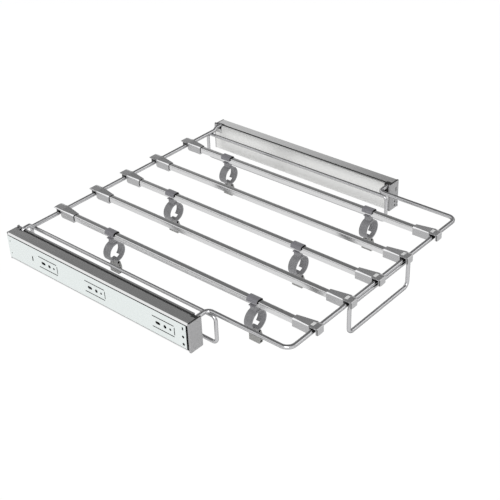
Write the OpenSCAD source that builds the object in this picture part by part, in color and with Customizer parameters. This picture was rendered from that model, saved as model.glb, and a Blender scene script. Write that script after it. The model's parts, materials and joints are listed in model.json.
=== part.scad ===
// Pull-out trouser rack with telescopic side boxes, five sliding bars and six spring clips.
// Frame: millimetres, +Z up, -Y is the pull-out direction, X = 0 midway between the cabinet sides,
// Y = 0 half way along the side boxes, Z = 0 on the centre line of the slides.

/* [Overall] */
// clear width between the two cabinet sides
cabinet_width = 464; // [440:1:520]
// distance of the front rod ahead of the box fronts
front_reach = 124; // [100:1:150]
// distance of the rear rod inside the box ends
rear_inset = 12; // [10:1:16]
// distance of the side rods from the cabinet sides
rod_inset = 42; // [38:1:46]

/* [Side boxes] */
// width of a side box
box_width = 23; // [22:0.5:26]
// top of the box above the slide centre line
box_top = 23; // [22.5:0.5:26]
// thickness of the aluminium walls
box_wall = 1.7; // [1.4:0.1:2.2]
// width of the groove along the inner top edge
groove_width = 3.6; // [2:0.2:4]
// depth of that groove
groove_depth = 2.6; // [1.6:0.2:3]
// width of the lip between the groove and the inner face
groove_lip = 3; // [2.6:0.2:3.6]
// thickness of the front end plate
front_plate = 3; // [2:0.5:4]
// thickness of the rear end plate
rear_plate = 2; // [1.5:0.5:3]
// how far the end plates reach below the box
plate_drop = 1.3; // [0.5:0.1:2.5]

/* [Slides] */
// length of the fixed rail
rail_length = 350; // [330:1:400]
// free room between the box front and the fixed rail
rail_setback = 6; // [5:0.5:12]
// height of the fixed rail
rail_height = 36; // [34:0.5:37]
// depth of the whole slide
rail_depth = 12.7; // [12.4:0.1:13.5]
// sheet thickness of the rails
rail_sheet = 1.2; // [1:0.1:1.3]
// diameter of the bearing balls
ball_d = 3.6; // [3.2:0.1:3.8]
// length of a ball cage
cage_length = 150; // [120:2:160]
// balls in one row of a cage
balls_per_row = 6; // [4:1:8]
// screw holes in the fixed rail
screw_hole_d = 5; // [4:0.1:5.4]
// distance from the front to the middle group of screw holes
group_pitch_front = 128; // [96:32:128]
// distance from the middle to the rear group of screw holes
group_pitch_rear = 96; // [64:32:96]

/* [Wire frame] */
// diameter of the front, side and rear rods
rod_d = 6; // [5:0.1:7]
// height of the rods above the slide centre line
rod_z = 19; // [18:0.1:19.2]
// bend radius of the front corners
bend_r = 12; // [8:0.5:16]
// bend radius where the side rods turn out to the boxes
turn_r = 8; // [6:0.5:9]
// rise of the arches of the rear wire beside the boxes
arch_rise = 4; // [3:0.5:5]
// length of an arch from its foot to the turn down into the cap
arch_run = 12; // [11:0.5:14]
// bend radius where the rear wire turns down into its cap
leg_r = 6; // [5:0.2:7]
// distance of the front rod ends from the box fronts
rod_end_inset = 6.8; // [6.8:0.1:8]
// diameter of the side loops
loop_d = 5; // [4:0.1:5.6]
// depth of the lower wire of the side loops below the slide centre line
loop_drop = 28; // [24:0.5:34]
// how far the side loops stand ahead of the boxes
loop_reach = 6; // [4:0.5:7]
// bend radius of the side loops
loop_r = 7; // [6:0.5:9]
// width of the handle, centre to centre
handle_width = 136; // [110:1:160]
// depth of the handle below the slide centre line
handle_drop = 30; // [22:0.5:40]
// diameter of the handle wire
handle_d = 5.5; // [4.5:0.1:6]
// bend radius of the handle
handle_r = 8; // [6:0.5:12]

/* [Bars] */
// width of a bar
bar_w = 8.8; // [8:0.1:9.4]
// height of a bar
bar_h = 8.4; // [7.6:0.1:9]
// radius of the top shoulders of a bar
bar_r = 2.4; // [1.5:0.1:3]
// wall thickness of a bar
bar_wall = 1.1; // [0.8:0.1:1.4]
// place of bar 1 along the rods
bar_1_x = -138; // [-142:1:-132]
// place of bar 2 along the rods
bar_2_x = -68; // [-71:1:-62]
// place of bar 3 along the rods
bar_3_x = -5; // [-8:1:1]
// place of bar 4 along the rods
bar_4_x = 60; // [57:1:66]
// place of bar 5 along the rods
bar_5_x = 133; // [126:1:136]

/* [Bar ends] */
// length of the sleeve, from the front rod to its inner end
sleeve_length = 32.5; // [28:0.5:36]
// length of the sleeve, from the rear rod to its inner end
rear_sleeve_length = 29.5; // [27:0.5:33]
// width of the sleeve at the bar
sleeve_w = 11.4; // [11:0.1:13]
// width of the bar end over the rod
nose_w = 15.5; // [14:0.1:17]
// length of the nose beyond the front rod
nose_length = 8; // [7.5:0.1:10]
// length of the nose beyond the rear rod
rear_nose_length = 11; // [9:0.5:12]
// room between the rod and the sleeve, on the side of the bar
mouth_rear = 1.4; // [1:0.1:2]
// room between the rod and the nose
mouth_front = 2.4; // [1.5:0.1:2.6]

/* [Clips] */
// outer radius of the spring ring
ring_r = 15.1; // [13:0.1:15.5]
// thickness of the ring band
band_t = 2; // [1.6:0.1:2.4]
// width of the collar and the jaws of a clip, along its bar
clip_w = 17.6; // [15:0.2:19]
// width of the ring band
band_w = 13; // [11:0.5:14]
// depth of the ring centre below the bar centre
ring_drop = 28.3; // [27:0.1:32]
// length of the jaws below the ring centre
jaw_drop = 35; // [34:0.5:38]
// place of the front clip on bar 1
clip_1_front_y = -204.5; // [-210:0.5:-198]
// place of the rear clip on bar 1
clip_1_rear_y = 60; // [54:0.5:64]
// place of the front clip on bar 3
clip_3_front_y = -170.5; // [-178:0.5:-164]
// place of the rear clip on bar 3
clip_3_rear_y = 70.5; // [64:0.5:76]
// place of the front clip on bar 5
clip_5_front_y = -192; // [-198:0.5:-186]
// place of the rear clip on bar 5
clip_5_rear_y = 81; // [76:1:88]

/* [Hidden] */
$fn = 48;
eps = 0.1;
// clearances
run_gap = 0.05;      // a part that turns or slides on a round one
seat_gap = 0.1;      // a sleeve round its bar
rest_gap = 0.3;      // a part that lies in its seat
slide_gap = 1.2;     // the cover above and below the fixed rail
wall_gap = 0.5;      // the cover beside the cabinet side

half_w = cabinet_width / 2;
box_length = rail_length + rail_setback;
front_face = -box_length / 2;
rear_face = box_length / 2;
y_front = front_face - front_reach;
y_rear = rear_face - rear_inset;
side_x = half_w - rod_inset;
rod_r = rod_d / 2;

// the cover, seen from the front, measured from the cabinet side
pocket_h = rail_height / 2 + slide_gap;
box_bottom = -pocket_h - box_wall;
mount_wall = rail_depth;
groove_out = box_width - groove_lip;
groove_in = groove_out - groove_width;
chamber_in = mount_wall + box_wall;
chamber_out = box_width - box_wall;
chamber_top = box_top - groove_depth - box_wall;
cover_front = front_face + front_plate;
cover_rear = rear_face - rear_plate;
edge_c = 0.9;

// where the rod ends go into the end caps
rod_in_front = front_face + rod_end_inset;
gate_half = rod_r + 1.1;
gate_floor = rod_z - rod_r - 6;
block_out = chamber_out - rest_gap;
block_in = chamber_in + rest_gap;
rod_tip = block_in + 1.2;
socket_depth = 4.1;
plug_length = 15;
arch_angle = atan(3 / 4);
knuckle = 0.02;      // a joint ball over the wire
rear_leg = 3.5;
leg_u = block_in + 1.1 + run_gap + rod_r;
leg_end = rod_z + arch_rise - leg_r - rear_leg;
arch_x = half_w - leg_u - leg_r - arch_run;
notch_floor = leg_end + rear_leg - 0.3;

// catch features of the right front cap
catch_deep = 1.6;
catch_slot_u = 6.4;
catch_slot_w = 1.7;
catch_slot_z0 = 6.1;
catch_slot_z1 = 13.5;
catch_hole_u = 9;
catch_hole_d = 2.9;
catch_hole_z = [-10.9, -17.6];
catch_pin_u = 3;
catch_pin_d = 3;
catch_pin_h = 1.2;
catch_pin_z = [-14.6, -20.4];
socket_h = box_top - gate_floor - rest_gap;

// slide sections
half_h = rail_height / 2;
race = ball_d + 2 * run_gap;
mid_h = half_h - rail_sheet - race;
in_h = mid_h - rail_sheet - race;
cage_t = 0.6;
mid_web = rail_sheet + rest_gap + cage_t + rest_gap;
mid_hole_d = 9;
in_flange = mid_web + rail_sheet + rest_gap + cage_t + rest_gap;
lip_h = 0.9;
outer_flange = rail_depth - 1.7;
mid_flange = rail_depth - 1.5;
outer_ball_u = outer_flange - rail_sheet - ball_d / 2 - 1.2;
inner_ball_u = mid_flange - ball_d / 2 - 1.2;
outer_ball_z = half_h - rail_sheet - race / 2;
inner_ball_z = mid_h - rail_sheet - race / 2;
rail_front = front_face + rail_setback;
mid_inset_front = 2;
mid_inset_rear = 6;
in_inset_front = 1;
in_inset_rear = 4;
mid_front = rail_front + mid_inset_front;
mid_rear = rear_face - mid_inset_rear;
in_front = cover_front + in_inset_front;
in_rear = rear_face - in_inset_rear;
cage_end = 10;       // from the cage end to its first ball
ball_pitch = (cage_length - 2 * cage_end) / (balls_per_row - 1);
inner_cage_y = 2;
rail_screw_r = 2;
rail_screw_head_r = 3.4;
rail_screw_head_h = 1.8;
rail_screw_end = 1;
rail_screw_inset = 38;
rail_screw_y = [front_face + rail_screw_inset, 0, rear_face - rail_screw_inset];
buffer_t = in_rear + rest_gap;

// screw hole groups of the fixed rail
group_inset = 37;
group_1_y = rail_front + group_inset;
group_2_y = group_1_y + group_pitch_front;
group_3_y = group_2_y + group_pitch_rear;
slit_w = 1.4;
slit_z = 8.3;
tab_front = -16;
tab_rear = 22.5;
notch_y = 35;        // upright slot behind the rear group
notch_len = 2.2;
notch_bottom = -4.6;
notch_top = 3;
dimple_y = 5;
dimple_z = 10;
dimple_d = 1.8;

// the loops hang under the rods, welded with a hair's breadth between the round faces
weld_gap = 0.05;
loop_rear_inset = 2;
loop_top = rod_z - rod_r - loop_d / 2 - weld_gap;
handle_top = rod_z - rod_r - handle_d / 2 - weld_gap;

// bars and bar ends
bar_drop = 0.8;
bar_z = rod_z - bar_drop;
mouth_y0 = -rod_r - mouth_front;
mouth_y1 = rod_r + mouth_rear;
bar_stop = mouth_y1 + 1.6;
nose_top = rod_r + 3.2;
sleeve_top = bar_h / 2 - bar_drop + 1.2;
sleeve_bottom = -bar_h / 2 - bar_drop - 3;
saddle_w = 6;
saddle_bottom = -1.7;
mouth_top = rod_r + 1.9;
hook_bottom = -rod_r - 2.4;      // the hook in front of the rod, lowest in its middle
hook_side = -rod_r;
end_reach = 12;      // more than the height of a bar end above or below its rod
window_w = 8.4;
window_l = 5;
window_y = 0.8;
window_depth = 0.6;
facet_w = 3.2;       // the top falls off this wide along its +X edge over the rod
facet_fall = 0.8;
facet_end = 2;
nose_corner = 3;     // radius of the round corner of the nose at +X
flat_near = 0.5;     // depth of the flats along the top edges, beside the rod and at the sleeve
flat_far = 1.2;
flat_reach = 5;
recess_l = 1.6;
recess_t = 0.7;

// clips
collar_t = 1.9;
collar_in = 0.08;
collar_hem = 0;      // the open side of the collar ends here, above the bar centre
relief_l = 1.2;      // relief round the bar at both ends of the collar
relief_t = 0.9;
shelf_t = 1.1;
jaw_t = 3.5;
jaw_gap = 0.3;
jaw_out = jaw_gap / 2 + jaw_t;
tooth = 1.1;
cavity = 2.1;        // the two wide cavities between the jaws, above and below the teeth
cavity_h = 2.4;
leg_bottom = -ring_r - 2.2;
cavity_pitch = 15.2;
tooth_pitch = 3;
cavity_z = [leg_bottom, leg_bottom - cavity_pitch];
teeth_z = [for (i = [-1 : 1]) leg_bottom - cavity_pitch / 2 + i * tooth_pitch];
jaw_flare = 6;       // height over which the jaws widen
neck_w = 9.5;        // width of the neck along the bar
neck_half = 4;
flange = 2.5;        // the neck's shelf stands out this far beside the bar
arm_split = ring_r - 5;      // the +X arm loses its rear half below this
arm_end = ring_r - 4.5;      // the -X arm loses its front half below this

bar_x = [bar_1_x, bar_2_x, bar_3_x, bar_4_x, bar_5_x];

// helpers: placing and extruding

// the left side, measured from the cabinet side inwards
module left() {
    translate([-half_w, 0, 0]) children();
}

// the mirrored right side
module right() {
    mirror([1, 0, 0]) left() children();
}

// extrudes a front view (x, z) between two depths
module along_y(y0, y1) {
    rotate([90, 0, 0]) translate([0, 0, -y1]) linear_extrude(y1 - y0) children();
}

// extrudes a side view (y, z) over a width centred on X = 0
module along_x(w) {
    rotate([90, 0, 90]) translate([0, 0, -w / 2]) linear_extrude(w) children();
}

// a rectangle in a front view, from corner to corner
module span(x0, z0, x1, z1) {
    translate([x0, z0]) square([x1 - x0, z1 - z0]);
}

// a box from corner to corner
module block(x0, y0, z0, x1, y1, z1) {
    translate([x0, y0, z0]) cube([x1 - x0, y1 - y0, z1 - z0]);
}

// round rods along each axis
module x_rod(x0, x1, y, z, d) {
    translate([x0, y, z]) rotate([0, 90, 0]) cylinder(d = d, h = x1 - x0);
}

module y_rod(x, y0, y1, z, d) {
    translate([x, y1, z]) rotate([90, 0, 0]) cylinder(d = d, h = y1 - y0);
}

module z_rod(x, y, z0, z1, d) {
    translate([x, y, z0]) cylinder(d = d, h = z1 - z0);
}

// a bend of a rod about the Z axis
module bend(r, d, angle) {
    rotate_extrude(angle = angle) translate([r, 0]) circle(d = d);
}

// the slides: three nested rails with caged balls between them

// a channel open towards the drawer, with an optional lip at each flange end
module channel(h, u0, u1, lip) {
    for (s = [0, 1]) mirror([0, s]) {
        span(u0, 0, u0 + rail_sheet, h);
        span(u0, h - rail_sheet, u1, h);
        if (lip > 0) span(u1 - rail_sheet, h - rail_sheet - lip, u1, h);
    }
}

// a round hole through a web that faces the cabinet side
module web_hole(y, z, d, u0, u1) {
    translate([u0, y, z]) rotate([0, 90, 0]) cylinder(d = d, h = u1 - u0);
}

// the slits and holes of one fixing tab
module fixing_group(y) {
    block(-eps, y + tab_front, slit_z - slit_w / 2, rail_sheet + eps, y + tab_rear, slit_z + slit_w / 2);
    block(-eps, y + tab_front, -slit_z - slit_w / 2, rail_sheet + eps, y + tab_rear, -slit_z + slit_w / 2);
    block(-eps, y + tab_front - slit_w, -5.6, rail_sheet + eps, y + tab_front, 6.2);
    web_hole(y, 0, screw_hole_d, -eps, rail_sheet + eps);
    web_hole(y - 9.4, 0, 3.4, -eps, rail_sheet + eps);
    web_hole(y + 10.4, 0, 4.2, -eps, rail_sheet + eps);
    web_hole(y + 14.8, 0, 4.2, -eps, rail_sheet + eps);
    block(-eps, y + 10.4, -2.1, rail_sheet + eps, y + 14.8, 2.1);
}

module outer_rail() {
    difference() {
        along_y(rail_front, rear_face) channel(half_h, 0, outer_flange, lip_h);
        fixing_group(group_1_y);
        fixing_group(group_2_y);
        fixing_group(group_3_y);
        // front column: an upright slot and two holes
        block(-eps, rail_front + 4.2, 9.5, rail_sheet + eps, rail_front + 6.6, 14);
        web_hole(rail_front + 5.4, -1, 4, -eps, rail_sheet + eps);
        web_hole(rail_front + 5.4, -12.6, 4, -eps, rail_sheet + eps);
        // upright slot behind the rear group and two dimple holes at the rear end
        translate([0, group_3_y + notch_y, 0])
            block(-eps, 0, notch_bottom, rail_sheet + eps, notch_len, notch_top);
        for (s = [-1, 1]) web_hole(rear_face - dimple_y, s * dimple_z, dimple_d, -eps, rail_sheet + eps);
    }
}

// rubber stop that the inner rail closes against
module rail_buffer() {
    block(rail_sheet, buffer_t, -in_h + 1, in_flange + 5, rear_face, in_h - 1);
}

module middle_rail() {
    difference() {
        along_y(mid_front, mid_rear) channel(mid_h, mid_web, mid_flange, 0);
        for (y = [group_1_y, group_2_y, group_3_y])
            web_hole(y, 0, mid_hole_d, mid_web - eps, mid_web + rail_sheet + eps);
    }
}

module inner_rail() {
    difference() {
        along_y(in_front, in_rear) for (s = [0, 1]) mirror([0, s]) {
            span(rail_depth - rail_sheet, 0, rail_depth, in_h);
            span(in_flange, in_h - rail_sheet, rail_depth, in_h);
        }
        for (y = rail_screw_y)
            web_hole(y, 0, 2 * rail_screw_r + 0.2, rail_depth - rail_sheet - eps, rail_depth + eps);
    }
}

// a cage channel with a row of pockets in each flange
module cage(u0, u1, z, ball_u, y_mid) {
    difference() {
        along_y(y_mid - cage_length / 2, y_mid + cage_length / 2) for (s = [0, 1]) mirror([0, s]) {
            span(u0, 0, u0 + cage_t, z + cage_t / 2);
            span(u0, z - cage_t / 2, u1, z + cage_t / 2);
        }
        for (s = [-1, 1], i = [0 : balls_per_row - 1])
            translate([ball_u, y_mid + (i - (balls_per_row - 1) / 2) * ball_pitch, s * z - cage_t])
                cylinder(d = ball_d + 2 * run_gap, h = 2 * cage_t);
    }
}

module balls(ball_u, z, y_mid) {
    for (s = [-1, 1], i = [0 : balls_per_row - 1])
        translate([ball_u, y_mid + (i - (balls_per_row - 1) / 2) * ball_pitch, s * z]) sphere(d = ball_d);
}

module outer_balls() {
    balls(outer_ball_u, outer_ball_z, 0);
}

module inner_balls() {
    balls(inner_ball_u, inner_ball_z, inner_cage_y);
}

module outer_cage() {
    cage(rail_sheet + rest_gap, outer_flange - rail_sheet - rest_gap, outer_ball_z, outer_ball_u, 0);
}

module inner_cage() {
    cage(mid_web + rail_sheet + rest_gap, mid_flange, inner_ball_z, inner_ball_u, inner_cage_y);
}

// pan head screws that hold the inner rail to the cover
module rail_screws() {
    for (y = rail_screw_y) translate([rail_depth - rail_sheet, y, 0]) rotate([0, 90, 0]) {
        translate([0, 0, -rail_screw_head_h]) cylinder(r = rail_screw_head_r, h = rail_screw_head_h);
        cylinder(r = rail_screw_r, h = rail_sheet + box_wall + rail_screw_end);
    }
}

// the side boxes: an aluminium cover with a plastic cap at each end

// front view of the extruded cover
module cover_2d() {
    difference() {
        polygon([[wall_gap, box_bottom], [box_width, box_bottom], [box_width, box_top],
                 [wall_gap + edge_c, box_top], [wall_gap, box_top - edge_c]]);
        span(-eps, -pocket_h, mount_wall, pocket_h);
        span(chamber_in, box_bottom + box_wall, chamber_out, chamber_top);
        span(groove_in, box_top - groove_depth, groove_out, box_top + eps);
    }
}

// the gate in the inner top edge that lets a rod end through
module gate(y0, y1) {
    block(chamber_in, y0, gate_floor, box_width + eps, y1, box_top + eps);
}

module box_cover() {
    difference() {
        along_y(cover_front, cover_rear) cover_2d();
        gate(cover_front - eps, rod_in_front + gate_half);
        gate(y_rear - gate_half, cover_rear + eps);
        for (y = rail_screw_y) web_hole(y, 0, 2 * rail_screw_r + 0.1, mount_wall - eps, chamber_in + eps);
    }
}

// the plug in the chamber of the cover
module cap_plug(y0, y1) {
    block(block_in, y0, box_bottom + box_wall + rest_gap, block_out, y1, chamber_top - rest_gap);
}

// the front cap: end plate, plug and a socket that grips the end of the side rod
module front_cap_body() {
    block(wall_gap, front_face, box_bottom - plate_drop, box_width, cover_front, box_top);
    difference() {
        union() {
            cap_plug(cover_front, cover_front + plug_length);
            block(block_in, cover_front, gate_floor + rest_gap,
                  rod_tip + socket_depth, rod_in_front + gate_half - rest_gap, box_top);
        }
        x_rod(rod_tip, box_width, rod_in_front, rod_z, rod_d + 2 * run_gap);
    }
}

module front_cap_left_body() {
    front_cap_body();
}

// the right cap has an upright slot, two catch holes and two small pins on its front plate
module front_cap_right_body() {
    difference() {
        front_cap_body();
        translate([catch_slot_u, front_face, 0])
            block(0, -eps, catch_slot_z0, catch_slot_w, catch_deep, catch_slot_z1);
        for (z = catch_hole_z)
            y_rod(catch_hole_u, front_face - eps, front_face + catch_deep, z, catch_hole_d);
    }
    for (z = catch_pin_z) y_rod(catch_pin_u, front_face - catch_pin_h, front_face + eps, z, catch_pin_d);
}

// the rear cap: end plate round the slide, plug and a notch that takes the end of the rear wire
module rear_cap_body() {
    difference() {
        union() {
            along_y(cover_rear, rear_face) difference() {
                span(wall_gap, box_bottom, box_width, box_top);
                span(-eps, -pocket_h, mount_wall + rest_gap, pocket_h);
            }
            // small raised lip at the inner rear corner
            block(groove_out - 0.6, rear_face - 1.2, box_top - 1, box_width, rear_face, box_top + 1.6);
            cap_plug(cover_rear - plug_length, cover_rear);
            translate([0, y_rear - gate_half + rest_gap, gate_floor + rest_gap])
                block(block_in, 0, 0, box_width, cover_rear - y_rear + gate_half - rest_gap, socket_h);
        }
        z_rod(leg_u, y_rear, leg_end, notch_floor + eps, rod_d + 2 * run_gap);
        block(leg_u - rod_r - run_gap, y_rear - gate_half + 0.6, notch_floor,
              box_width + eps, y_rear + gate_half - 0.6, box_top + eps);
        block(groove_in + 1, rear_face - 4.6, box_top - 1.6, groove_out, rear_face - 1.2, box_top + eps);
    }
}

// the welded wire frame

// one half of the front wire, from the middle of the front rod to its end in the right cap
module front_wire_half() {
    x_rod(0, side_x - bend_r, y_front, rod_z, rod_d);
    translate([side_x - bend_r, y_front + bend_r, rod_z]) rotate([0, 0, -90]) bend(bend_r, rod_d, 90);
    y_rod(side_x, y_front + bend_r, rod_in_front - turn_r, rod_z, rod_d);
    translate([side_x + turn_r, rod_in_front - turn_r, rod_z]) rotate([0, 0, 90]) bend(turn_r, rod_d, 90);
    x_rod(side_x + turn_r, half_w - rod_tip, rod_in_front, rod_z, rod_d);
}

module front_wire() {
    color([0.78, 0.78, 0.80]) for (s = [0, 1]) mirror([s, 0, 0]) front_wire_half();
}

// one arch, from its foot at the origin up, along and down into the cap
module arch() {
    slope_run = arch_rise / tan(arch_angle);
    rotate([0, 90 - arch_angle, 0]) cylinder(d = rod_d, h = arch_rise / sin(arch_angle));
    for (p = [[0, 0, 0], [slope_run, 0, arch_rise]]) translate(p) sphere(d = rod_d + 2 * knuckle);
    x_rod(slope_run, arch_run, 0, arch_rise, rod_d);
    translate([arch_run, 0, arch_rise - leg_r]) rotate([90, 0, 0]) bend(leg_r, rod_d, 90);
    z_rod(arch_run + leg_r, 0, arch_rise - leg_r - rear_leg, arch_rise - leg_r, rod_d);
}

// the rear wire arches up beside each box and ends downwards in the rear cap
module rear_wire() {
    color([0.78, 0.78, 0.80]) translate([0, y_rear, rod_z]) {
        x_rod(-arch_x, arch_x, 0, 0, rod_d);
        for (a = [0, 180]) rotate([0, 0, a]) translate([arch_x, 0, 0]) arch();
    }
}

// a closed rectangular loop of wire, seen in its own plane (a, b), standing along X or Y
module wire_loop(a0, a1, b0, b1, r, d) {
    for (b = [b0, b1]) translate([a0 + r, b, 0]) rotate([0, 90, 0]) cylinder(d = d, h = a1 - a0 - 2 * r);
    for (a = [a0, a1]) translate([a, b0 + r, 0]) rotate([-90, 0, 0]) cylinder(d = d, h = b1 - b0 - 2 * r);
    translate([a1 - r, b1 - r, 0]) bend(r, d, 90);
    translate([a0 + r, b1 - r, 0]) rotate([0, 0, 90]) bend(r, d, 90);
    translate([a0 + r, b0 + r, 0]) rotate([0, 0, 180]) bend(r, d, 90);
    translate([a1 - r, b0 + r, 0]) rotate([0, 0, 270]) bend(r, d, 90);
}

module side_loop() {
    color([0.78, 0.78, 0.80]) translate([side_x, 0, 0]) rotate([90, 0, 90])
        wire_loop(front_face - loop_reach, rear_face - loop_rear_inset, -loop_drop, loop_top, loop_r, loop_d);
}

module handle_loop() {
    color([0.78, 0.78, 0.80]) translate([0, y_front, 0]) rotate([90, 0, 0])
        wire_loop(-handle_width / 2, handle_width / 2, -handle_drop, handle_top, handle_r, handle_d);
}

// the bars and their snap-on ends

// front view of a bar: flat underneath, rounded shoulders on top
module bar_2d(c) {
    w = bar_w + 2 * c;
    h = bar_h + 2 * c;
    r = bar_r + c;
    span(-w / 2, -h / 2, w / 2, h / 2 - r);
    span(-w / 2 + r, -h / 2, w / 2 - r, h / 2);
    for (s = [-1, 1]) translate([s * (w / 2 - r), h / 2 - r]) circle(r = r);
}

module bar(x) {
    color([0.62, 0.62, 0.64]) translate([x, 0, bar_z]) along_y(y_front + bar_stop, y_rear - bar_stop)
        difference() {
            bar_2d(0);
            bar_2d(-bar_wall);
        }
}

// side view of a bar end, measured from the rod centre towards the bar
module end_side_2d(sleeve, nose) {
    polygon([[sleeve, sleeve_bottom], [sleeve, sleeve_top], [mouth_y1 + 1.2, nose_top],
             [-nose + 1, nose_top], [-nose, nose_top - 1], [-nose, hook_bottom + 1.6],
             [-nose + 0.8, hook_bottom], [mouth_y0 - 0.5, hook_bottom], [mouth_y0, hook_bottom + 0.5],
             [mouth_y0, saddle_bottom], [mouth_y1, saddle_bottom], [mouth_y1, hook_side - 1.6],
             [mouth_y1 + 2.6, sleeve_bottom + 1.4]]);
}

// top view of a bar end
module end_top_2d(sleeve, nose) {
    difference() {
        polygon([[-sleeve_w / 2, sleeve], [-sleeve_w / 2 - 0.3, sleeve - 7],
                 [-nose_w / 2, mouth_y1 + 1.2], [-nose_w / 2, -nose + 0.9],
                 [-nose_w / 2 + 0.9, -nose], [nose_w / 2, -nose],
                 [nose_w / 2, mouth_y1 + 1.2], [sleeve_w / 2 + 0.3, sleeve - 7],
                 [sleeve_w / 2, sleeve]]);
        // round corner at +X
        translate([nose_w / 2 - nose_corner, nose_corner - nose]) difference() {
            translate([0, -nose_corner - 1]) square(nose_corner + 1);
            circle(r = nose_corner);
        }
    }
}

// cuts the lower edge of the hook to a curve, seen from the front
module hook_curve(nose) {
    sag = hook_side - hook_bottom;
    r = (nose_w * nose_w / 4 + sag * sag) / (2 * sag);
    difference() {
        block(-nose_w, -nose - eps, hook_bottom - 1, nose_w, mouth_y0, hook_side);
        y_rod(0, -nose - 1, mouth_y0 + 1, hook_bottom + r, 2 * r);
    }
}

// shallow facet along the +X edge of the top, over the rod
module top_facet(nose) {
    edge = nose_w / 2;
    along_y(-nose - eps, facet_end)
        polygon([[edge - facet_w, nose_top], [edge + facet_w, nose_top - 2 * facet_fall],
                 [edge + facet_w, nose_top + 1], [edge - facet_w, nose_top + 1]]);
}

// flat that breaks each long top edge, wider toward the end of the sleeve
module shoulder_flats(sleeve) {
    run = sleeve - mouth_y1;
    fall = atan((nose_top - sleeve_top) / run);
    turn = atan((nose_w - sleeve_w) / 2 / run);
    for (s = [0, 1]) mirror([s, 0, 0])
        translate([nose_w / 2, mouth_y1, nose_top]) rotate([-fall, 0, turn]) rotate([0, 45, 0])
            translate([0, 0, -flat_near]) rotate([-atan((flat_far - flat_near) / run), 0, 0])
                block(-flat_reach, -flat_reach, 0, flat_reach, run + flat_reach, flat_reach);
}

// a bar end; mouth_end is where the mouth beside the saddle ends, away from the bar
module bar_end(sleeve, nose, mouth_end) {
    difference() {
        intersection() {
            along_x(nose_w + 2) end_side_2d(sleeve, nose);
            translate([0, 0, -end_reach]) linear_extrude(2 * end_reach) end_top_2d(sleeve, nose);
        }
        // seat of the bar
        translate([0, 0, -bar_drop]) along_y(bar_stop - run_gap, sleeve + eps) bar_2d(seat_gap);
        // shallow recess round the bar where it enters the sleeve
        translate([0, 0, -bar_drop]) along_y(sleeve - recess_l, sleeve + eps) bar_2d(recess_t);
        // mouth that straddles the rod, on both sides of the saddle
        for (s = [0, 1]) mirror([s, 0, 0])
            block(saddle_w / 2, mouth_end, -end_reach, nose_w, mouth_y1, mouth_top);
        // the saddle snaps over the rod
        x_rod(-nose_w, nose_w, 0, 0, rod_d + 2 * run_gap);
        hook_curve(nose);
        top_facet(nose);
        shoulder_flats(sleeve);
    }
}

module front_end(x) {
    color([0.55, 0.55, 0.57]) translate([x, y_front, rod_z]) difference() {
        bar_end(sleeve_length, nose_length, mouth_y0);
        // window of the latch in the top
        translate([0, 0, nose_top])
            block(-window_w / 2, window_y, -window_depth, window_w / 2, window_y + window_l, eps);
    }
}

// the rear ends lie farther out on their rod, and only their saddle hooks behind it
module rear_end(x) {
    color([0.55, 0.55, 0.57]) translate([x, y_rear, rod_z]) mirror([0, 1, 0])
        bar_end(rear_sleeve_length, rear_nose_length, -rear_nose_length - eps);
}

// the clips: a collar on the bar, a spring ring and two crossed jaws, moulded in one piece

// front view of the collar: it hooks over the bar and is open on the outer side
module collar_2d() {
    difference() {
        bar_2d(collar_t);
        bar_2d(collar_in);
        span(-bar_w / 2 - collar_t - eps, -bar_h / 2 - collar_t - eps, 0, collar_hem);
    }
}

// front view of the neck that hangs the ring under the bar, with a shelf along the bar's lower edge
module neck_2d() {
    span(-bar_w / 2 - flange, -bar_h / 2 - shelf_t, bar_w / 2, -bar_h / 2 - collar_in);
    span(-bar_w / 2, -bar_h / 2 - collar_t, bar_w / 2, -bar_h / 2 - collar_in);
    span(-neck_half, -ring_drop + ring_r - band_t / 2, neck_half, -bar_h / 2 - collar_t + eps);
}

// front view of the ring
module ring_2d() {
    difference() {
        circle(r = ring_r);
        circle(r = ring_r - band_t);
    }
}

// front view of the two jaws, with toothed inner faces between two wide cavities
module jaws_2d() {
    difference() {
        span(-jaw_out, -jaw_drop, jaw_out, -ring_r + band_t);
        span(-jaw_gap / 2, -jaw_drop - 1, jaw_gap / 2, leg_bottom + eps);
        for (z = teeth_z) polygon([[-tooth, z], [0, z + 1], [tooth, z], [0, z - 1]]);
        for (z = cavity_z) polygon([[-cavity, z], [0, z + cavity_h], [cavity, z], [0, z - cavity_h]]);
    }
}

// side view of the jaws: as wide as the ring at the top, as wide as the collar below
module jaw_side_2d() {
    polygon([[-band_w / 2, 0], [-band_w / 2, leg_bottom],
             [-clip_w / 2, leg_bottom - jaw_flare], [-clip_w / 2, -jaw_drop - 1],
             [clip_w / 2, -jaw_drop - 1], [clip_w / 2, leg_bottom - jaw_flare],
             [band_w / 2, leg_bottom], [band_w / 2, 0]]);
}

// the collar, relieved round the bar at both ends
module collar() {
    difference() {
        along_y(-clip_w / 2, clip_w / 2) collar_2d();
        along_y(-clip_w / 2 - eps, -clip_w / 2 + relief_l) bar_2d(relief_t);
        along_y(clip_w / 2 - relief_l, clip_w / 2 + eps) bar_2d(relief_t);
    }
}

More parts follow.
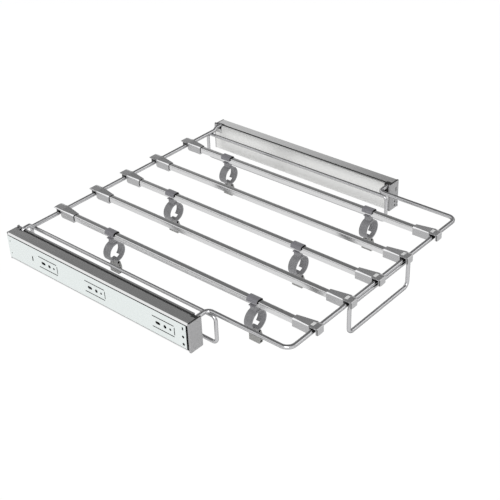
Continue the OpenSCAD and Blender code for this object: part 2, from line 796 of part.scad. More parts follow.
// each arm runs down one side in its own half of the width and crosses to the other jaw
module clip_body() {
    collar();
    along_y(-neck_w / 2, neck_w / 2) neck_2d();
    translate([0, 0, -ring_drop]) difference() {
        union() {
            along_y(-band_w / 2, band_w / 2) ring_2d();
            intersection() {
                along_y(-clip_w / 2, clip_w / 2) jaws_2d();
                along_x(2 * jaw_out + 2) jaw_side_2d();
            }
        }
        block(-jaw_out - eps, -rest_gap / 2, leg_bottom, jaw_out + eps, rest_gap / 2, -ring_r + band_t + 1);
        // rear half: no ring below the split at +X, no leg at -X
        block(jaw_out, rest_gap / 2, -ring_r - 1, ring_r + 1, clip_w / 2 + 1, -arm_split);
        block(-jaw_out - eps, 0, leg_bottom, jaw_gap / 2, clip_w / 2 + 1, -ring_r);
        // front half: the other way round
        block(-ring_r - 1, -clip_w / 2 - 1, -ring_r - 1, -jaw_out, -rest_gap / 2, -arm_end);
        block(-jaw_gap / 2, -clip_w / 2 - 1, leg_bottom, jaw_out + eps, 0, -ring_r);
    }
}

module clip(x, y) {
    color([0.50, 0.50, 0.52]) translate([x, y, bar_z]) clip_body();
}

// output

color([0.86, 0.88, 0.88]) left() outer_rail();  // outer_rail_left
color([0.86, 0.88, 0.88]) right() outer_rail();  // outer_rail_right
color([0.15, 0.15, 0.15]) left() rail_buffer();  // rail_buffer_left
color([0.15, 0.15, 0.15]) right() rail_buffer();  // rail_buffer_right
color([0.82, 0.84, 0.84]) left() middle_rail();  // middle_rail_left
color([0.82, 0.84, 0.84]) right() middle_rail();  // middle_rail_right
color([0.84, 0.86, 0.86]) left() inner_rail();  // inner_rail_left
color([0.84, 0.86, 0.86]) right() inner_rail();  // inner_rail_right
color([0.70, 0.70, 0.72]) left() outer_cage();  // outer_cage_left
color([0.70, 0.70, 0.72]) right() outer_cage();  // outer_cage_right
color([0.70, 0.70, 0.72]) left() inner_cage();  // inner_cage_left
color([0.70, 0.70, 0.72]) right() inner_cage();  // inner_cage_right
color([0.90, 0.90, 0.92]) left() outer_balls();  // outer_balls_left
color([0.90, 0.90, 0.92]) right() outer_balls();  // outer_balls_right
color([0.90, 0.90, 0.92]) left() inner_balls();  // inner_balls_left
color([0.90, 0.90, 0.92]) right() inner_balls();  // inner_balls_right
color([0.80, 0.80, 0.82]) left() rail_screws();  // rail_screws_left
color([0.80, 0.80, 0.82]) right() rail_screws();  // rail_screws_right
color([0.70, 0.70, 0.72]) left() box_cover();  // box_cover_left
color([0.70, 0.70, 0.72]) right() box_cover();  // box_cover_right
color([0.68, 0.68, 0.70]) left() front_cap_left_body();  // front_cap_left
color([0.68, 0.68, 0.70]) right() front_cap_right_body();  // front_cap_right
color([0.66, 0.66, 0.68]) left() rear_cap_body();  // rear_cap_left
color([0.66, 0.66, 0.68]) right() rear_cap_body();  // rear_cap_right
front_wire();
rear_wire();
mirror([1, 0, 0]) side_loop();  // side_loop_left
side_loop();  // side_loop_right
handle_loop();
bar(bar_x[0]);  // bar_1
bar(bar_x[1]);  // bar_2
bar(bar_x[2]);  // bar_3
bar(bar_x[3]);  // bar_4
bar(bar_x[4]);  // bar_5
front_end(bar_x[0]);  // bar_1_front_end
front_end(bar_x[1]);  // bar_2_front_end
front_end(bar_x[2]);  // bar_3_front_end
front_end(bar_x[3]);  // bar_4_front_end
front_end(bar_x[4]);  // bar_5_front_end
rear_end(bar_x[0]);  // bar_1_rear_end
rear_end(bar_x[1]);  // bar_2_rear_end
rear_end(bar_x[2]);  // bar_3_rear_end
rear_end(bar_x[3]);  // bar_4_rear_end
rear_end(bar_x[4]);  // bar_5_rear_end
clip(bar_x[0], clip_1_front_y);  // clip_1_front
clip(bar_x[0], clip_1_rear_y);  // clip_1_rear
clip(bar_x[2], clip_3_front_y);  // clip_3_front
clip(bar_x[2], clip_3_rear_y);  // clip_3_rear
clip(bar_x[4], clip_5_front_y);  // clip_5_front
clip(bar_x[4], clip_5_rear_y);  // clip_5_rear
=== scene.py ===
import bpy
import json
import math
from mathutils import Matrix, Quaternion, Vector


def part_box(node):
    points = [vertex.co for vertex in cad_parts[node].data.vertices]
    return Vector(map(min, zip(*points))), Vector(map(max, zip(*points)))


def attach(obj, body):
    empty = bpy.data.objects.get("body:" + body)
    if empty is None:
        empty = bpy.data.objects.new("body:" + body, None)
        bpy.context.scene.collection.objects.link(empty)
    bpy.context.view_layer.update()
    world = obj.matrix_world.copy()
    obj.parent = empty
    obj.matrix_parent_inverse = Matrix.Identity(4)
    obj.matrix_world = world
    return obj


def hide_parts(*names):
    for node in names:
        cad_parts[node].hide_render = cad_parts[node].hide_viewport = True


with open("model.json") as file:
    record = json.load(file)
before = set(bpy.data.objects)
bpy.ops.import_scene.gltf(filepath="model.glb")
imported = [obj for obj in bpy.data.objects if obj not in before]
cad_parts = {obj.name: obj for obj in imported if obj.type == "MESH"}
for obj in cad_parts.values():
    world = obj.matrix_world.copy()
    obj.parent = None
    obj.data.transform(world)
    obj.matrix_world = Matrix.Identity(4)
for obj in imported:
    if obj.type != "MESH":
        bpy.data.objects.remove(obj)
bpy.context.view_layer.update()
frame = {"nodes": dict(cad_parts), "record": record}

bpy.ops.object.select_all(action="DESELECT")

# The camera. It stands to the left of the pulled-out rack and looks down on it, at the
# viewing angle that the photograph was fitted to, with the slight lean of that picture. Its
# focal length is the fitted one, counted in pixels of the picture's width.
aim = Vector((-0.0295, -0.1035, 0.0))
camera_side = math.radians(-48.4)
camera_height = math.radians(32.6)
camera_lean = math.radians(-2.16)
camera_distance = 1.4264
sensor_width = 36
picture_width = 500
focal_pixels = 1016
back = Vector((math.sin(camera_side) * math.cos(camera_height),
               -math.cos(camera_side) * math.cos(camera_height),
               math.sin(camera_height)))
bpy.ops.object.camera_add(location=aim + back * camera_distance)
camera = bpy.context.object
camera.rotation_mode = "QUATERNION"
camera.rotation_quaternion = ((-back).to_track_quat("-Z", "Y")
                              @ Quaternion((0, 0, 1), camera_lean))
camera.data.sensor_width = sensor_width
camera.data.lens = sensor_width * focal_pixels / picture_width
bpy.context.scene.camera = camera
bpy.context.scene.view_settings.view_transform = "Standard"
bpy.ops.object.select_all(action="DESELECT")


# The slides. Three nested rails of steel strip run on caged balls in each side box. The fixed
# rail is zinc plated and shows its punched slits and screw holes in the outer face of the box,
# the middle rail and the cages are painted black, painted shade for the dark seen through the
# slits, and a rubber block stops the travel.
def effect(name, inputs, outputs):
    """An empty shader node group with named sockets, and its input and output nodes."""
    group = bpy.data.node_groups.new(name, "ShaderNodeTree")
    for label, kind, value in inputs:
        group.interface.new_socket(label, in_out="INPUT", socket_type=kind).default_value = value
    for label, kind in outputs:
        group.interface.new_socket(label, in_out="OUTPUT", socket_type=kind)
    return group, group.nodes.new("NodeGroupInput"), group.nodes.new("NodeGroupOutput")


def step(tree, kind, feeds=(), **settings):
    """One node and its settings; each feed is a socket or a number, and the input it goes to."""
    made = tree.nodes.new(kind)
    for setting, value in settings.items():
        label = setting.replace("_", " ")
        if label in made.inputs:
            made.inputs[label].default_value = value
        else:
            setattr(made, setting, value)
    for source, target in feeds:
        if isinstance(source, float):
            made.inputs[target].default_value = source
        else:
            tree.links.new(source, made.inputs[target])
    return made


def about_zero(tree, noise):
    """The values of a noise, from 0 to 1, moved to lie about zero."""
    return step(tree, "ShaderNodeMath", ((noise.outputs["Fac"], 0), (0.5, 1)),
                operation="SUBTRACT").outputs[0]


# Marks of handling: broad soft smudges, shared by every metal and plastic below.
marks, marks_in, marks_out = effect(
    "handling_marks",
    (("Size", "NodeSocketFloat", 40.0), ("Strength", "NodeSocketFloat", 0.1)),
    (("Mask", "NodeSocketFloat"),))
place = step(marks, "ShaderNodeTexCoord")
smudge = step(marks, "ShaderNodeTexNoise",
              ((place.outputs["Object"], "Vector"), (marks_in.outputs["Size"], "Scale")),
              Detail=4.0, Roughness=0.65, Distortion=0.6)
scaled = step(marks, "ShaderNodeMath",
              ((about_zero(marks, smudge), 0), (marks_in.outputs["Strength"], 1)),
              operation="MULTIPLY")
marks.links.new(scaled.outputs[0], marks_out.inputs["Mask"])


def surface(name, pattern_socket, colour, dullness):
    """A group for one kind of surface, with its sockets and nothing between them yet."""
    return effect(
        name,
        (("Colour", "NodeSocketColor", colour), pattern_socket,
         ("Contrast", "NodeSocketFloat", 0.1), ("Dullness", "NodeSocketFloat", dullness),
         ("Spread", "NodeSocketFloat", 0.1)),
        (("Colour", "NodeSocketColor"), ("Roughness", "NodeSocketFloat"),
         ("Height", "NodeSocketFloat")))


def vary(group, into, out, pattern, height, smudge_size, smudge_strength):
    """Lets the pattern and the handling marks vary the colour and roughness of a surface."""
    smudges = step(group, "ShaderNodeGroup", node_tree=marks, Size=smudge_size,
                   Strength=smudge_strength)
    uneven = step(group, "ShaderNodeMath",
                  ((about_zero(group, pattern), 0), (smudges.outputs["Mask"], 1)),
                  operation="ADD")
    tone = step(group, "ShaderNodeMath",
                ((uneven.outputs[0], 0), (into.outputs["Contrast"], 1), (1.0, 2)),
                operation="MULTIPLY_ADD")
    shade = step(group, "ShaderNodeVectorMath",
                 ((into.outputs["Colour"], 0), (tone.outputs[0], "Scale")), operation="SCALE")
    dull = step(group, "ShaderNodeMath",
                ((uneven.outputs[0], 0), (into.outputs["Spread"], 1),
                 (into.outputs["Dullness"], 2)),
                operation="MULTIPLY_ADD")
    group.links.new(shade.outputs[0], out.inputs["Colour"])
    group.links.new(dull.outputs[0], out.inputs["Roughness"])
    group.links.new(height, out.inputs["Height"])


# Drawn metal: fine lines along one axis, in colour, roughness and height.
drawn, drawn_in, drawn_out = surface(
    "drawn_lines", ("Stretch", "NodeSocketVector", (900, 14, 900)), (0.6, 0.6, 0.6, 1), 0.3)
place = step(drawn, "ShaderNodeTexCoord")
stretched = step(drawn, "ShaderNodeVectorMath",
                 ((place.outputs["Object"], 0), (drawn_in.outputs["Stretch"], 1)),
                 operation="MULTIPLY")
lines = step(drawn, "ShaderNodeTexNoise", ((stretched.outputs[0], "Vector"),),
             Scale=1.0, Detail=3.0, Roughness=0.6)
vary(drawn, drawn_in, drawn_out, lines, lines.outputs["Fac"],
     smudge_size=26, smudge_strength=0.5)

# Fine grain: the eroded skin of a mould or a barrel-plated part, the same in every direction.
grain, grain_in, grain_out = surface(
    "fine_grain", ("Size", "NodeSocketFloat", 900.0), (0.5, 0.5, 0.5, 1), 0.4)
place = step(grain, "ShaderNodeTexCoord")
grain_feeds = ((place.outputs["Object"], "Vector"), (grain_in.outputs["Size"], "Scale"))
pits = step(grain, "ShaderNodeTexVoronoi", grain_feeds)
cloud = step(grain, "ShaderNodeTexNoise", grain_feeds, Detail=2.0)
vary(grain, grain_in, grain_out, cloud, pits.outputs["Distance"],
     smudge_size=35, smudge_strength=0.8)

relief_height = 0.0001


def finish(name, kind, metallic, relief, rim=1.0, **values):
    """A material on one of the surface groups; rim is how far it brightens at its outline."""
    made = bpy.data.materials.new(name)
    made.use_nodes = True
    tree = made.node_tree
    shader = tree.nodes["Principled BSDF"]
    shader.inputs["Metallic"].default_value = metallic
    shader.inputs["Specular Tint"].default_value = (rim, rim, rim, 1)
    look = step(tree, "ShaderNodeGroup", node_tree=kind)
    for label, value in values.items():
        look.inputs[label].default_value = (*value, 1) if label == "Colour" else value
    bump = step(tree, "ShaderNodeBump", ((look.outputs["Height"], "Height"),),
                Strength=relief, Distance=relief_height)
    tree.links.new(look.outputs["Colour"], shader.inputs["Base Color"])
    tree.links.new(look.outputs["Roughness"], shader.inputs["Roughness"])
    tree.links.new(bump.outputs["Normal"], shader.inputs["Normal"])
    return made


bodies = frame["record"]["behaviour"]["bodies"]
body_of = {node: body for body, members in bodies.items() for node in members}
merge_distance = 0.000002
same_plane = math.radians(1)
sharp_corner = math.radians(35)
smooth_angle = math.radians(14)


def take(piece):
    """Makes a piece the only one that the next tools work on."""
    bpy.ops.object.select_all(action="DESELECT")
    bpy.context.view_layer.objects.active = piece
    piece.select_set(True)


def smooth(piece):
    """Rounds the shading of curved faces and leaves the flat ones and their corners flat."""
    take(piece)
    bpy.ops.object.shade_smooth_by_angle(angle=smooth_angle)
    piece.select_set(False)


def break_corners(piece, width, segments):
    """A small bevel along every sharp corner of a piece."""
    bevel = piece.modifiers.new("broken corners", "BEVEL")
    bevel.width = width
    bevel.segments = segments
    bevel.limit_method = "ANGLE"
    bevel.angle_limit = sharp_corner
    bpy.ops.object.modifier_apply(modifier=bevel.name)


def dress(name, material, corner=0.0, segments=2):
    """A finished copy of a CAD node, its corners broken where a width is given, stands in for it."""
    piece = frame["nodes"][name].copy()
    piece.data = frame["nodes"][name].data.copy()
    piece.name = name + "_finished"
    piece.parent = None
    piece.matrix_world = Matrix.Identity(4)
    bpy.context.scene.collection.objects.link(piece)
    take(piece)
    bpy.ops.object.mode_set(mode="EDIT")
    bpy.ops.mesh.select_all(action="SELECT")
    bpy.ops.mesh.remove_doubles(threshold=merge_distance)
    bpy.ops.mesh.dissolve_limited(angle_limit=same_plane)
    bpy.ops.object.mode_set(mode="OBJECT")
    piece.data.materials.clear()
    piece.data.materials.append(material)
    if corner:
        break_corners(piece, corner, segments)
    smooth(piece)
    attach(piece, body_of[name])
    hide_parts(name)
    return piece


def tint(piece, material, here):
    """A second finish on the faces whose middle and normal pass the test."""
    piece.data.materials.append(material)
    slot = len(piece.data.materials) - 1
    for face in piece.data.polygons:
        if here(face.center, face.normal):
            face.material_index = slot


zinc = finish("zinc_plate", drawn, metallic=1.0, relief=0.12, Colour=(0.80, 0.845, 0.835),
              Stretch=(900, 14, 900), Contrast=0.10, Dullness=0.34, Spread=0.14)
# Painted shade: black for the middle rail and the cages, so the slits show dark.
painted_shade_steel = finish("rail_painted_shade", grain, metallic=0.9, relief=0.15,
                    Colour=(0.035, 0.035, 0.038), Size=420, Contrast=0.3, Dullness=0.5, Spread=0.2)
ball_steel = finish("ball_steel", grain, metallic=1.0, relief=0.03, Colour=(0.78, 0.78, 0.80),
                    Size=500, Contrast=0.06, Dullness=0.12, Spread=0.08)
inner_zinc = finish("bright_zinc", drawn, metallic=1.0, relief=0.15, Colour=(0.66, 0.68, 0.70),
                    Stretch=(800, 16, 800), Contrast=0.14, Dullness=0.36, Spread=0.16)
buffer_rubber = finish("buffer_rubber", grain, metallic=0.0, relief=0.5,
                       Colour=(0.03, 0.03, 0.03), Size=700, Contrast=0.4, Dullness=0.7, Spread=0.2)
for side in ("left", "right"):
    dress(f"outer_rail_{side}", zinc, corner=0.0002)
    # The middle rail and the cages carry the black painted shade.
    dress(f"middle_rail_{side}", painted_shade_steel, corner=0.0002)
    dress(f"inner_rail_{side}", inner_zinc, corner=0.0002)
    dress(f"rail_screws_{side}", inner_zinc, corner=0.0003)
    dress(f"outer_cage_{side}", painted_shade_steel)
    dress(f"inner_cage_{side}", painted_shade_steel)
    dress(f"outer_balls_{side}", ball_steel)
    dress(f"inner_balls_{side}", ball_steel)
    dress(f"rail_buffer_{side}", buffer_rubber, corner=0.0005)

# The side boxes. Each is an aluminium extrusion round its slide, brushed lengthwise and clear
# anodised, with a groove along the inner top edge whose faces carry painted shade. The side that
# faces the bars is duller than the rest.
brushed = finish("brushed_aluminium", drawn, metallic=1.0, relief=0.06, Colour=(0.80, 0.80, 0.80),
                 Stretch=(1500, 9, 1500), Contrast=0.16, Dullness=0.15, Spread=0.08)
# Painted shade for the faces of the groove.
groove_painted_shade = finish("groove_shadow", drawn, metallic=0.6, relief=0.3, Colour=(0.15, 0.15, 0.15),
                     Stretch=(900, 12, 900), Contrast=0.4, Dullness=0.55, Spread=0.2)
panel_brushed = finish("panel_aluminium", drawn, metallic=1.0, relief=0.06,
                       Colour=(0.80, 0.80, 0.79), Stretch=(1500, 9, 1500), Contrast=0.14,
                       Dullness=0.42, Spread=0.08)


def span(node, axis):
    """The lowest and the highest place of a CAD node along one axis."""
    places = [vertex.co[axis] for vertex in frame["nodes"][node].data.vertices]
    return min(places), max(places)


# Faces are told by their place, give or take a little, and by how far they face along an axis.
slack = 0.0001
flush = 0.0005
faces_squarely = 0.9
box_wide = 0.023
box_top = 0.023
lip_wide = 0.003
groove_wide = 0.0036
below_groove = 0.015
cabinet_side = span("outer_rail_right", 0)[1]
inner_side = cabinet_side - box_wide
groove_start = inner_side + lip_wide
groove_end = groove_start + groove_wide


def in_groove(middle, normal):
    beside = groove_start - slack < abs(middle.x) < groove_end + slack
    return beside and below_groove < middle.z < box_top - 2 * slack


for side, towards_bars in (("left", 1), ("right", -1)):
    cover = dress(f"box_cover_{side}", brushed, corner=0.0003)
    # The groove's faces carry the painted shade.
    tint(cover, groove_painted_shade, in_groove)
    tint(cover, panel_brushed, lambda middle, normal: normal.x * towards_bars > faces_squarely
         and abs(abs(middle.x) - inner_side) < flush)

# The end caps. Grey mouldings close both ends of each box and grip the ends of the wires. What
# lies inside the box carries black painted shade, as do the slot and holes in the face of the
# right front cap. The rear caps are darker than the front ones, and their side towards the bars
# is pale.
cap_grey = finish("cap_plastic", grain, metallic=0.0, relief=0.12, Colour=(0.40, 0.40, 0.405),
                  Size=900, Contrast=0.10, Dullness=0.42, Spread=0.12)
cap_rear = finish("rear_cap_plastic", grain, metallic=0.0, relief=0.12,
                  Colour=(0.24, 0.24, 0.245), Size=900, Contrast=0.12, Dullness=0.42, Spread=0.12)
cap_pale = finish("panel_plastic", grain, metallic=0.0, relief=0.10, Colour=(0.62, 0.62, 0.62),
                  Size=900, Contrast=0.10, Dullness=0.42, Spread=0.12)
# Painted shade: black for what lies inside the box and for the slot and holes in the cap's face.
cap_painted_shade = finish("socket_painted_shade", grain, metallic=0.0, relief=0.2, Colour=(0.012, 0.012, 0.012),
                   Size=600, Contrast=0.3, Dullness=0.6, Spread=0.2)
face_depth = 0.0029
face_margin = 0.0008
cover_front, cover_rear = span("box_cover_left", 1)
for side in ("left", "right"):
    front_cap = dress(f"front_cap_{side}", cap_grey, corner=0.0005, segments=3)
    low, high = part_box(f"front_cap_{side}")
    # Black painted shade inside the box and in the slot and holes of the cap's face.
    tint(front_cap, cap_painted_shade, lambda middle, normal: middle.y > cover_front + 2 * slack)
    tint(front_cap, cap_painted_shade, lambda middle, normal: (
         cover_front - face_depth < middle.y < cover_front - slack
         and low[0] + face_margin < middle.x < high[0] - face_margin
         and low[2] + face_margin < middle.z < high[2] - face_margin))
    rear_cap = dress(f"rear_cap_{side}", cap_rear, corner=0.0004)
    # Black painted shade on what lies inside the box.
    tint(rear_cap, cap_painted_shade, lambda middle, normal: (
         middle.y < cover_rear - 2 * slack and middle.z < box_top - flush))
    tint(rear_cap, cap_pale, lambda middle, normal: (
         middle.y < cover_rear - 2 * slack and abs(middle.x) < inner_side + 2 * slack))

# The wire frame. Round steel wire is bent, welded where the wires meet and plated in satin
# chrome: front wire, rear wire, a loop beside each box and the handle.
chrome = finish("satin_chrome", grain, metallic=1.0, relief=0.04, rim=0.0,
                Colour=(0.54, 0.54, 0.55), Size=260, Contrast=0.08, Dullness=0.24, Spread=0.10)
for part in ("front_wire", "rear_wire", "side_loop_left", "side_loop_right", "handle_loop"):
    dress(part, chrome)

# The bars. Five hollow extrusions of satin anodised aluminium, flat below and rounded along
# the top. They run from the rear rod to the front one, and each is held by its two ends.
satin = finish("satin_aluminium", drawn, metallic=1.0, relief=0.02, rim=0.2,
               Colour=(0.68, 0.68, 0.685), Stretch=(900, 6, 900), Contrast=0.05, Dullness=0.20,
               Spread=0.04)
for bar in range(1, 6):
    dress(f"bar_{bar}", satin, corner=0.0002)

# The bar ends. Satin silver mouldings hold the bars and snap over the rods. One long top edge
# of each has a narrow facet with a painted highlight, and the flats that run down to the sleeve
# carry the same painted highlight. The mouth for the rod and the recess where the bar enters
# carry black painted shade, and the side of each front hook a dark painted shade.
silver = finish("satin_silver", grain, metallic=0.85, relief=0.06, Colour=(0.46, 0.46, 0.465),
                Size=800, Contrast=0.08, Dullness=0.36, Spread=0.10)
# Painted highlight: a near-white for the narrow top facet and the flats.
painted_highlight = finish("painted_highlight_edge", grain, metallic=1.0, relief=0.02, Colour=(0.90, 0.90, 0.91),
                     Size=800, Contrast=0.04, Dullness=0.14, Spread=0.05)
# Painted shade: black for the recess where the bar enters and for the mouth round the rod.
recess_painted_shade = finish("recess_shadow", grain, metallic=0.0, relief=0.2, Colour=(0.03, 0.03, 0.03),
                      Size=600, Contrast=0.3, Dullness=0.6, Spread=0.2)
# Painted shade: a dark grey for the side of each front hook.
hook_shade = finish("hook_side", grain, metallic=0.0, relief=0.06, Colour=(0.09, 0.09, 0.09),
                    Size=800, Contrast=0.2, Dullness=0.5, Spread=0.1)
bright_facet = 0.0011
faces_partly = 0.5
flats_slant = 0.4
hook_faces = 0.7
sleeve_end = {"front": 0.0325, "rear": 0.0295}
outline_low = 0.0035
flats_low = 0.0025
window_half = 0.0043
window_along = (0.0007, 0.0063)
recess_half = 0.0054
recess_depth = 0.0017
mouth_half = 0.0077
mouth_high = 0.0052
mouth_along = (-0.0055, 0.0043)
hook_high = 0.0050
hook_along = (-0.0079, -0.0055)


def middle_of(node, axis):
    low, high = span(node, axis)
    return (low + high) / 2


rod_radius = 0.003
rod_z = middle_of("front_wire", 2)
rod_y = {"front": span("front_wire", 1)[0] + rod_radius, "rear": middle_of("rear_wire", 1)}


def pick_edges(piece, test):
    """Selects the edges between two faces whose middle and normals pass the test."""
    take(piece)
    bpy.ops.object.mode_set(mode="EDIT")
    bpy.ops.mesh.select_mode(type="EDGE")
    bpy.ops.mesh.select_all(action="DESELECT")
    bpy.ops.object.mode_set(mode="OBJECT")
    mesh = piece.data
    beside = {}
    for face in mesh.polygons:
        for key in face.edge_keys:
            beside.setdefault(key, []).append(face.normal)
    for edge in mesh.edges:
        normals = beside.get(edge.key, [])
        one, other = [mesh.vertices[corner].co for corner in edge.vertices]
        edge.select = len(normals) == 2 and test((one + other) / 2, *normals)


def bar_end(bar, end):
    """One end of a bar. Its faces and edges are told apart by where they lie from the rod."""
    piece = dress(f"bar_{bar}_{end}_end", silver)
    piece.data.materials.append(painted_highlight)
    bar_x = middle_of(f"bar_{bar}", 0)
    inward = 1 if end == "front" else -1

    def from_rod(middle):
        """How far a place is aside from the bar's middle, inward from the rod, and above it."""
        return abs(middle.x - bar_x), (middle.y - rod_y[end]) * inward, middle.z - rod_z

    def on_top_outline(middle, one, other):
        aside, along, above = from_rod(middle)
        flat, upright = (one, other) if one.z > other.z else (other, one)
        in_window = aside < window_half and window_along[0] < along < window_along[1]
        return (flat.z > faces_squarely and abs(upright.z) < faces_partly
                and upright.x < -faces_partly and above > outline_low and not in_window)

    def on_flats(middle, normal):
        sloping = flats_slant < normal.z < faces_squarely and abs(normal.x) > flats_slant
        return sloping and from_rod(middle)[2] > flats_low

    def in_recess_or_mouth(middle, normal):
        aside, along, above = from_rod(middle)
        from_sleeve_end = sleeve_end[end] - along
        in_recess = aside < recess_half and slack < from_sleeve_end < recess_depth
        in_mouth = aside < mouth_half and mouth_along[0] < along < mouth_along[1]
        return in_recess or (in_mouth and above < mouth_high)

    def on_hook(middle, normal):
        along, above = from_rod(middle)[1:]
        on_side = hook_along[0] < along < hook_along[1] and above < hook_high
        return end == "front" and normal.x < -hook_faces and on_side

    pick_edges(piece, on_top_outline)
    bpy.ops.object.mode_set(mode="EDIT")
    # The bevelled facet takes the painted highlight.
    bpy.ops.mesh.bevel(offset=bright_facet, segments=1, material=1)
    bpy.ops.object.mode_set(mode="OBJECT")
    smooth(piece)
    # Painted highlight on the flats that run down to the sleeve.
    tint(piece, painted_highlight, on_flats)
    # Black painted shade in the recess and the mouth.
    tint(piece, recess_painted_shade, in_recess_or_mouth)
    # Dark painted shade on the side of the front hooks.
    tint(piece, hook_shade, on_hook)


for bar in range(1, 6):
    for end in ("front", "rear"):
        bar_end(bar, end)

# The latch tabs. A pale moulded tab lies in the window on top of each front bar end, with a
# shallow finger dish in it, and lets the end be snapped off its rod.
tab_pale = finish("tab_plastic", grain, metallic=0.0, relief=0.08, Colour=(0.88, 0.88, 0.875),
                  Size=900, Contrast=0.06, Dullness=0.35, Spread=0.08)
tab_room = 0.0001
tab_thick = 0.0005
tab_half = 0.0042
tab_along = (0.0008, 0.0058)
tab_corner = 0.00015
dish_rim = 0.0009
dish_depth = 0.00012
top_of_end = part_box("bar_1_front_end")[1][2]
for bar in range(1, 6):
    bar_x = middle_of(f"bar_{bar}", 0)
    bpy.ops.object.select_all(action="DESELECT")
    bpy.ops.mesh.primitive_cube_add(size=1, location=(
        bar_x, rod_y["front"] + sum(tab_along) / 2, top_of_end - tab_room - tab_thick / 2))
    tab = bpy.context.object
    tab.name = f"latch_tab_{bar}"
    tab.scale = (2 * (tab_half - tab_room), tab_along[1] - tab_along[0] - 2 * tab_room, tab_thick)
    bpy.ops.object.transform_apply(location=True, rotation=True, scale=True)
    for face in tab.data.polygons:
        face.select = face.normal.z > faces_squarely
    bpy.ops.object.mode_set(mode="EDIT")
    bpy.ops.mesh.select_mode(type="FACE")
    bpy.ops.mesh.inset(thickness=dish_rim)
    bpy.ops.transform.translate(value=(0, 0, -dish_depth))
    bpy.ops.object.mode_set(mode="OBJECT")
    tab.data.materials.append(tab_pale)
    soften = tab.modifiers.new("soft corners", "BEVEL")
    soften.width = tab_corner
    soften.segments = 2
    bpy.ops.object.modifier_apply(modifier=soften.name)
    smooth(tab)
    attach(tab, f"bar_body_{bar}")

# The clips. Springy grey mouldings: a collar hooked over the bar, a ring and two crossed jaws,
# whose toothed inner faces carry black painted shade. The collar on top has a darker grey as
# painted shade and the jaws below a lighter grey as painted light. The relieved ends of the
# collar, where the bar passes through, carry the same black painted shade.
clip_grey = finish("clip_plastic", grain, metallic=0.0, relief=0.10, Colour=(0.27, 0.27, 0.28),
                   Size=800, Contrast=0.14, Dullness=0.40, Spread=0.12)
# Painted shade: the collar on top gets a darker copy of the clip's grey.
collar_painted_shade = finish("collar_painted_shade_grey", grain, metallic=0.0, relief=0.10,
                     Colour=(0.235, 0.232, 0.252), Size=800, Contrast=0.14, Dullness=0.40,
                     Spread=0.12)
# Painted light: the jaws below get a lighter copy of the clip's grey.
jaw_painted_light = finish("jaw_painted_light_grey", grain, metallic=0.0, relief=0.10, Colour=(0.33, 0.33, 0.32),
                  Size=800, Contrast=0.12, Dullness=0.42, Spread=0.12)
# Painted shade: black for the faces between the jaws and the relieved ends of the collar.
gap_painted_shade = finish("clip_gap_painted_shade", grain, metallic=0.0, relief=0.4, Colour=(0.008, 0.008, 0.008),
                    Size=700, Contrast=0.3, Dullness=0.7, Spread=0.2)
collar_low = 0.0125
collar_relief_start = 0.0075
jaw_top = -0.0269
bar_drop = 0.0008
bar_z = rod_z - bar_drop
bar_room = (0.0054, 0.0052)
gap_shade_half = 0.0021
faces_up = 0.95


def ring_clip(bar, end):
    """One clip. Its faces are told apart by where they lie from the bar's middle."""
    clip = dress(f"clip_{bar}_{end}", clip_grey, corner=0.0003)
    bar_x = middle_of(f"bar_{bar}", 0)
    clip_y = middle_of(f"clip_{bar}_{end}", 1)

    def in_collar_relief(middle, normal):
        round_bar = abs(middle.x - bar_x) < bar_room[0] and abs(middle.z - bar_z) < bar_room[1]
        return round_bar and abs(middle.y - clip_y) > collar_relief_start

    def between_jaws(middle, normal):
        inside = abs(middle.x - bar_x) < gap_shade_half and middle.z < jaw_top + flush
        return inside and abs(normal.y) < faces_partly and abs(normal.z) < faces_up

    # Painted shade on the collar and painted light on the jaws.
    tint(clip, collar_painted_shade, lambda middle, normal: middle.z > collar_low)
    tint(clip, jaw_painted_light, lambda middle, normal: middle.z < jaw_top)
    # Black painted shade where the bar passes through the collar and between the jaws.
    tint(clip, gap_painted_shade, in_collar_relief)
    tint(clip, gap_painted_shade, between_jaws)


for bar in (1, 3, 5):
    for end in ("front", "rear"):
        ring_clip(bar, end)


# The studio. A pale floor far below and a white surround, a large soft key lamp at the
# camera's left and a weaker fill, and a grey ceiling and two dark flags that only
# reflections see.
def background_rays(tree):
    """1 for the rays that show the background, 0 for those that light the object."""
    path = step(tree, "ShaderNodeLightPath")
    seen = step(tree, "ShaderNodeMath",
                ((path.outputs["Is Camera Ray"], 0), (path.outputs["Is Glossy Ray"], 1)),
                operation="ADD")
    return step(tree, "ShaderNodeMath",
                ((seen.outputs[0], 0), (path.outputs["Is Transmission Ray"], 1)),
                operation="ADD", use_clamp=True).outputs[0]


def to_surface(tree, shader):
    tree.links.new(shader.outputs[0], tree.nodes["Material Output"].inputs["Surface"])


floor_size = 12
floor_z = -0.3
floor_glow = 1.05
floor_glow_share = 0.92
white = bpy.data.materials.new("studio_floor")
white.use_nodes = True
tree = white.node_tree
paper = tree.nodes["Principled BSDF"]
paper.inputs["Base Color"].default_value = (0.9, 0.9, 0.9, 1)
paper.inputs["Roughness"].default_value = 0.9
share = step(tree, "ShaderNodeMath", ((background_rays(tree), 0), (floor_glow_share, 1)),
             operation="MULTIPLY")
glow = step(tree, "ShaderNodeEmission", Strength=floor_glow)
mix = step(tree, "ShaderNodeMixShader",
           ((share.outputs[0], 0), (paper.outputs[0], 1), (glow.outputs[0], 2)))
to_surface(tree, mix)
bpy.ops.mesh.primitive_plane_add(size=floor_size, location=(0, 0, floor_z))
floor = bpy.context.object
floor.name = "floor"
floor.data.materials.append(white)

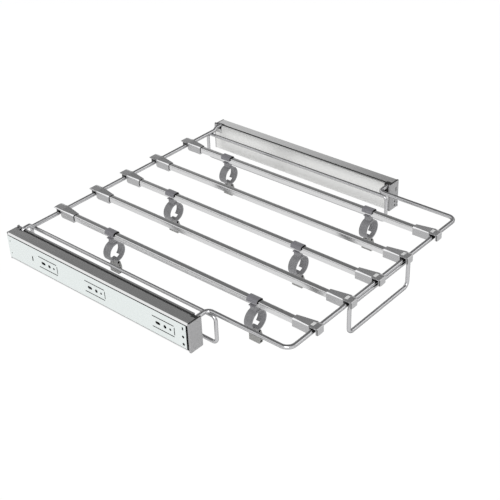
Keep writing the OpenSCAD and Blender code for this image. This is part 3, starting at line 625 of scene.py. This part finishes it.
# The surround lights the object more from the sides than from above.
light_from_side = 0.80
light_from_above = 0.30
world = bpy.data.worlds.new("studio")
bpy.context.scene.world = world
world.use_nodes = True
tree = world.node_tree
sky = tree.nodes["Background"]
sky.inputs["Color"].default_value = (1, 1, 1, 1)
direction = step(tree, "ShaderNodeTexCoord")
upward = step(tree, "ShaderNodeSeparateXYZ", ((direction.outputs["Generated"], 0),))
room = step(tree, "ShaderNodeMapRange", ((upward.outputs["Z"], "Value"),),
            From_Min=0.0, From_Max=1.0, To_Min=light_from_side, To_Max=light_from_above)
strength = step(tree, "ShaderNodeMix",
                ((background_rays(tree), 0), (room.outputs["Result"], 2), (1.0, 3)),
                data_type="FLOAT")
tree.links.new(strength.outputs[0], sky.inputs["Strength"])


def lamp(name, place, size, power):
    """A square soft lamp that points at what the camera looks at."""
    bpy.ops.object.light_add(type="AREA", location=place)
    light = bpy.context.object
    light.name = name
    light.data.shape = "SQUARE"
    light.data.size = size
    light.data.energy = power
    light.rotation_mode = "QUATERNION"
    light.rotation_quaternion = (aim - light.location).to_track_quat("-Z", "Y")


lamp("key", place=(-2.0, -1.3, 1.5), size=1.4, power=26)
lamp("fill", place=(1.2, -1.6, 1.2), size=1.6, power=5)


def light_only(name):
    """A material that gives light alone, and the node that gives it."""
    made = bpy.data.materials.new(name)
    made.use_nodes = True
    glow = step(made.node_tree, "ShaderNodeEmission")
    to_surface(made.node_tree, glow)
    return made, glow


def turn(card, heading):
    """Settles a card where it is, and turns it round the upright through the frame's origin."""
    bpy.ops.object.transform_apply(location=True, rotation=True, scale=True)
    card.rotation_euler.z = heading
    bpy.ops.object.transform_apply(location=True, rotation=True, scale=True)


def only_for_reflections(card, material):
    card.data.materials.append(material)
    card.visible_camera = False
    card.visible_diffuse = False
    card.visible_shadow = False


# The ceiling gives the level tops their grey. It is dim over the rack and brighter far behind.
ceiling_heading = math.radians(45)
ceiling_high = 2.2
ceiling_along = (-1.6, 6.6)
ceiling_across = (-3.4, 1.7)
far_start = 4.0
far_full = 4.3
ceiling_dim = 0.21
ceiling_bright = 0.62
panel_grey, glow = light_only("ceiling_panel")
tree = panel_grey.node_tree
here = step(tree, "ShaderNodeTexCoord")
onward = step(tree, "ShaderNodeVectorMath", ((here.outputs["Object"], 0),),
              operation="DOT_PRODUCT")
onward.inputs[1].default_value = (math.cos(ceiling_heading), math.sin(ceiling_heading), 0)
level = step(tree, "ShaderNodeMapRange", ((onward.outputs["Value"], "Value"),),
             From_Min=far_start, From_Max=far_full, To_Min=ceiling_dim, To_Max=ceiling_bright)
tree.links.new(level.outputs["Result"], glow.inputs["Strength"])
bpy.ops.mesh.primitive_plane_add(size=1)
panel = bpy.context.object
panel.name = "ceiling_panel"
bpy.ops.transform.resize(value=(ceiling_along[1] - ceiling_along[0],
                                ceiling_across[1] - ceiling_across[0], 1),
                         center_override=(0, 0, 0))
bpy.ops.transform.translate(value=(sum(ceiling_along) / 2, sum(ceiling_across) / 2, ceiling_high))
turn(panel, ceiling_heading)
only_for_reflections(panel, panel_grey)

# Two dark flags low behind and beside the rack draw the dark lines along the polished rods and
# under the bright shoulders of the bars.
flag_glow = 0.2
flag_dark, glow = light_only("dark_flag")
glow.inputs["Strength"].default_value = flag_glow
flag_away = 3.0
flag_wide = 4.5
flag_low = -0.1
flag_high = 0.55
for flag_name, heading in (("flag_left", math.radians(55)), ("flag_right", math.radians(-141))):
    bpy.ops.object.select_all(action="DESELECT")
    bpy.ops.mesh.primitive_plane_add(size=1)
    flag = bpy.context.object
    flag.name = flag_name
    bpy.ops.transform.resize(value=(flag_wide, flag_high - flag_low, 1), center_override=(0, 0, 0))
    bpy.ops.transform.rotate(value=math.radians(90), orient_axis="X", center_override=(0, 0, 0))
    bpy.ops.transform.translate(value=(0, flag_away, (flag_low + flag_high) / 2))
    turn(flag, heading)
    only_for_reflections(flag, flag_dark)
